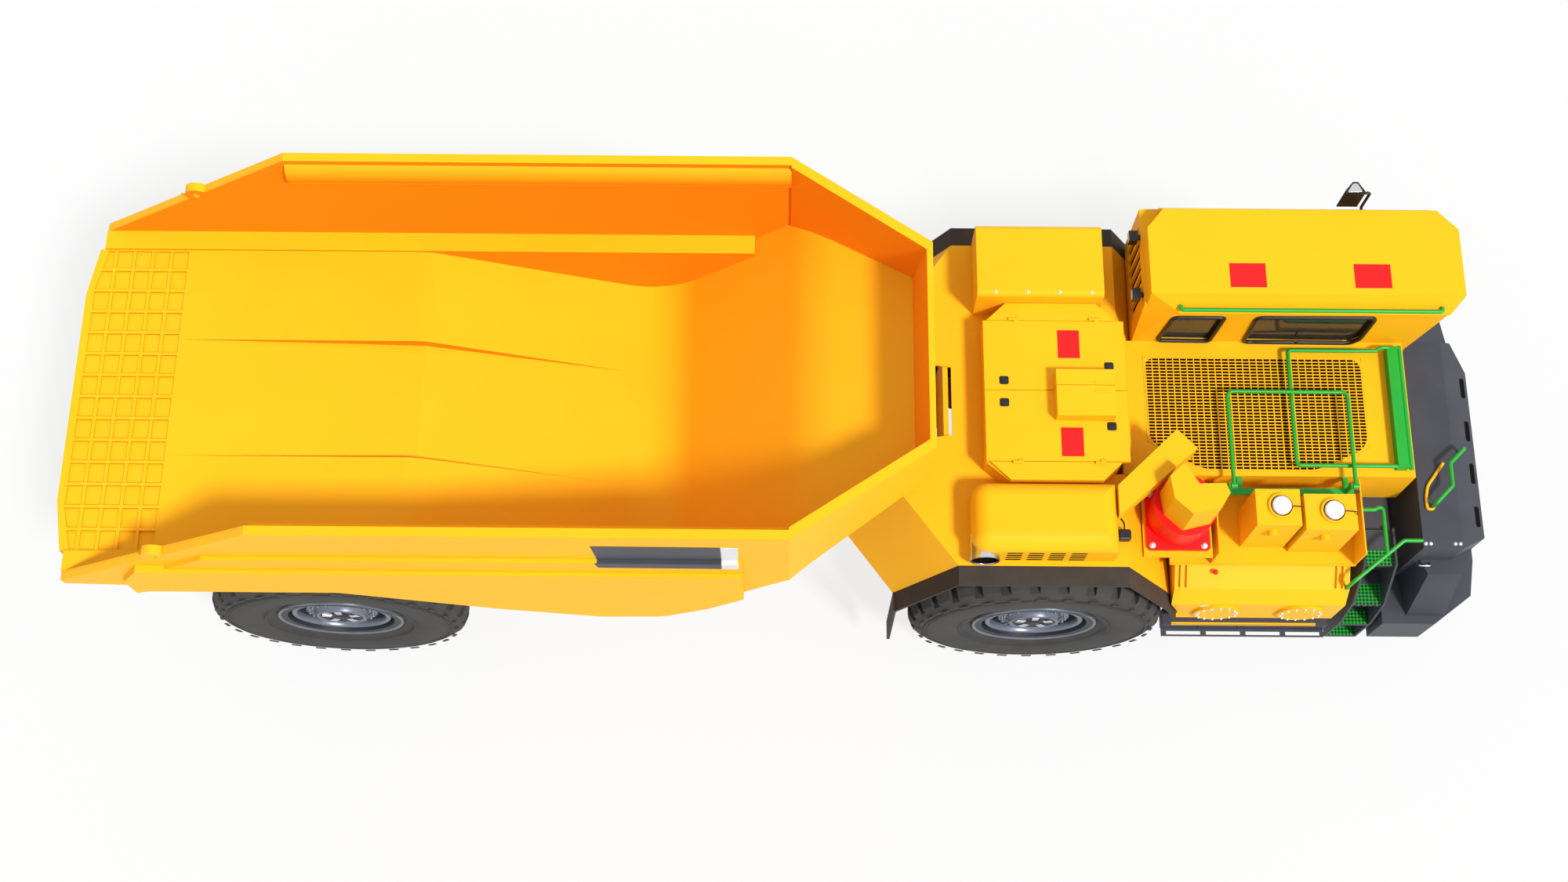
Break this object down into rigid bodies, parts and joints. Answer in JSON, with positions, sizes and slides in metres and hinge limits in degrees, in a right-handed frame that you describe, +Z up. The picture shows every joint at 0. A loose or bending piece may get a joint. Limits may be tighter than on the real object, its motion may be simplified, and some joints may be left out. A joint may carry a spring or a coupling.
{
  "type": "underground articulated dump truck",
  "caption": "Low articulated mining dump truck with a tipping box, side cab, hinged engine covers, dark nose, fold-down rails and four large lugged tyres.",
  "frame": {"origin": "on the ground, under the centre of the overall bounding box", "axes": "+X towards the nose, +Y towards the cab side, +Z up"},
  "size_m": [11.34, 3.12, 3.45],
  "materials": {
    "yellow_paint": "gloss",
    "dark_paint": "satin",
    "green_paint": "gloss",
    "red_paint": "gloss",
    "tyre": "matte",
    "rim_paint": "satin",
    "black_rubber": "matte",
    "bright_steel": "polished",
    "cylinder_paint": "satin",
    "engine_iron": "rough",
    "white_paint": "satin",
    "black_plastic": "matte",
    "window_glass": "clear"
  },
  "bodies": {
    "front_frame": {"front_chassis": "yellow_paint", "front_axle": "yellow_paint", "rear_deck": "yellow_paint", "fender_left": "yellow_paint", "fender_right": "yellow_paint", "fender_lips": "black_rubber", "engine_block": "engine_iron", "hood_base": "yellow_paint", "housing_left": "yellow_paint", "housing_right": "yellow_paint", "exhaust_pipe": "bright_steel", "radiator_deck": "yellow_paint", "radiator_grille": "yellow_paint", "service_shelf": "yellow_paint", "air_cleaner": "red_paint", "intake_guard": "yellow_paint", "filler_boxes": "yellow_paint", "filler_lids": "white_paint", "side_tank": "yellow_paint", "side_sill": "dark_paint", "steps": "green_paint", "nose": "dark_paint", "lower_bumper": "dark_paint", "cab_shell": "yellow_paint", "cab_roof": "yellow_paint", "cab_glass": "window_glass", "cab_interior": "black_plastic", "mirror": "black_plastic", "lamps": "black_plastic", "handrails": "green_paint", "front_rail": "green_paint"},
    "rear_frame": {"rear_frame": "yellow_paint", "rear_axle": "yellow_paint"},
    "dump_box": {"dump_box": "yellow_paint", "box_side_left": "yellow_paint", "box_side_right": "yellow_paint", "box_webs": "yellow_paint"},
    "wheel_front_left": {"tyre_front_left": "tyre", "rim_front_left": "rim_paint"},
    "wheel_front_right": {"tyre_front_right": "tyre", "rim_front_right": "rim_paint"},
    "wheel_rear_left": {"tyre_rear_left": "tyre", "rim_rear_left": "rim_paint"},
    "wheel_rear_right": {"tyre_rear_right": "tyre", "rim_rear_right": "rim_paint"},
    "hoist_barrel_left": {"hoist_barrel_left": "cylinder_paint"},
    "hoist_sleeve_left": {"hoist_sleeve_left": "bright_steel"},
    "hoist_rod_left": {"hoist_rod_left": "bright_steel"},
    "hoist_barrel_right": {"hoist_barrel_right": "cylinder_paint"},
    "hoist_sleeve_right": {"hoist_sleeve_right": "bright_steel"},
    "hoist_rod_right": {"hoist_rod_right": "bright_steel"},
    "steering_barrel_left": {"steering_barrel_left": "cylinder_paint"},
    "steering_rod_left": {"steering_rod_left": "bright_steel"},
    "steering_barrel_right": {"steering_barrel_right": "cylinder_paint"},
    "steering_rod_right": {"steering_rod_right": "bright_steel"},
    "hood_door_left": {"hood_door_left": "yellow_paint"},
    "hood_door_right": {"hood_door_right": "yellow_paint"},
    "cab_door": {"cab_door": "yellow_paint", "door_glass": "window_glass"},
    "folding_rail": {"folding_rail": "green_paint"}
  },
  "joints": [
    {"name": "articulation", "type": "hinge", "parent": "front_frame", "child": "rear_frame", "pos_m": [0.62, 0, 1], "axis": [0, 0, 1], "range_deg": [-42, 42]},
    {"name": "wheel_front_left", "type": "hinge", "parent": "front_frame", "child": "wheel_front_left", "pos_m": [2.01, 1.093, 1.03], "axis": [0, 1, 0], "continuous": true},
    {"name": "wheel_front_right", "type": "hinge", "parent": "front_frame", "child": "wheel_front_right", "pos_m": [2.01, -1.093, 1.03], "axis": [0, 1, 0], "continuous": true},
    {"name": "wheel_rear_left", "type": "hinge", "parent": "rear_frame", "child": "wheel_rear_left", "pos_m": [-3.67, 1.093, 1.03], "axis": [0, 1, 0], "continuous": true},
    {"name": "wheel_rear_right", "type": "hinge", "parent": "rear_frame", "child": "wheel_rear_right", "pos_m": [-3.67, -1.093, 1.03], "axis": [0, 1, 0], "continuous": true},
    {"name": "tip", "type": "hinge", "parent": "rear_frame", "child": "dump_box", "pos_m": [-4.75, 0, 1.8], "axis": [0, -1, 0], "range_deg": [0, 63]},
    {"name": "hoist_swing_left", "type": "hinge", "parent": "rear_frame", "child": "hoist_barrel_left", "pos_m": [-2.55, 0.52, 0.8], "axis": [0, -1, 0], "range_deg": [0, 5.7]},
    {"name": "hoist_first_stage_left", "type": "slide", "parent": "hoist_barrel_left", "child": "hoist_sleeve_left", "axis": [-0.4201, 0, 0.9075], "range_m": [0, 0.885]},
    {"name": "hoist_second_stage_left", "type": "slide", "parent": "hoist_sleeve_left", "child": "hoist_rod_left", "axis": [-0.4201, 0, 0.9075], "range_m": [0, 0.885]},
    {"name": "hoist_swing_right", "type": "hinge", "parent": "rear_frame", "child": "hoist_barrel_right", "pos_m": [-2.55, -0.52, 0.8], "axis": [0, -1, 0], "range_deg": [0, 5.7]},
    {"name": "hoist_first_stage_right", "type": "slide", "parent": "hoist_barrel_right", "child": "hoist_sleeve_right", "axis": [-0.4201, 0, 0.9075], "range_m": [0, 0.885]},
    {"name": "hoist_second_stage_right", "type": "slide", "parent": "hoist_sleeve_right", "child": "hoist_rod_right", "axis": [-0.4201, 0, 0.9075], "range_m": [0, 0.885]},
    {"name": "steering_swing_left", "type": "hinge", "parent": "front_frame", "child": "steering_barrel_left", "pos_m": [1.18, 0.45, 1], "axis": [0, 0, 1], "range_deg": [-24, 24]},
    {"name": "steering_stroke_left", "type": "slide", "parent": "steering_barrel_left", "child": "steering_rod_left", "axis": [-0.9993, -0.0381, 0], "range_m": [-0.307, 0.307]},
    {"name": "steering_swing_right", "type": "hinge", "parent": "front_frame", "child": "steering_barrel_right", "pos_m": [1.18, -0.45, 1], "axis": [0, 0, 1], "range_deg": [-24, 24]},
    {"name": "steering_stroke_right", "type": "slide", "parent": "steering_barrel_right", "child": "steering_rod_right", "axis": [-0.9993, 0.0381, 0], "range_m": [-0.307, 0.307]},
    {"name": "hood_door_left", "type": "hinge", "parent": "front_frame", "child": "hood_door_left", "pos_m": [2.05, 0.592, 2.51], "axis": [-1, 0, 0], "range_deg": [0, 90]},
    {"name": "hood_door_right", "type": "hinge", "parent": "front_frame", "child": "hood_door_right", "pos_m": [2.05, -0.592, 2.51], "axis": [1, 0, 0], "range_deg": [0, 90]},
    {"name": "cab_door", "type": "hinge", "parent": "front_frame", "child": "cab_door", "pos_m": [3.705, 1.468, 2], "axis": [0, 0, 1], "range_deg": [0, 100]},
    {"name": "folding_rail", "type": "hinge", "parent": "front_frame", "child": "folding_rail", "pos_m": [3.9, -0.68, 2.245], "axis": [1, 0, 0], "range_deg": [0, 90]}
  ],
  "couplings": [
    {"joint": "hoist_swing_left", "follows": "tip", "ratio": 0.08897},
    {"joint": "hoist_first_stage_left", "follows": "tip", "m_per_rad": 0.8044},
    {"joint": "hoist_second_stage_left", "follows": "tip", "m_per_rad": 0.8044},
    {"joint": "hoist_swing_right", "follows": "tip", "ratio": 0.08897},
    {"joint": "hoist_first_stage_right", "follows": "tip", "m_per_rad": 0.8044},
    {"joint": "hoist_second_stage_right", "follows": "tip", "m_per_rad": 0.8044},
    {"joint": "steering_swing_left", "follows": "articulation", "ratio": 0.567},
    {"joint": "steering_stroke_left", "follows": "articulation", "m_per_rad": 0.4183},
    {"joint": "steering_swing_right", "follows": "articulation", "ratio": 0.567},
    {"joint": "steering_stroke_right", "follows": "articulation", "m_per_rad": -0.4183}
  ]
}
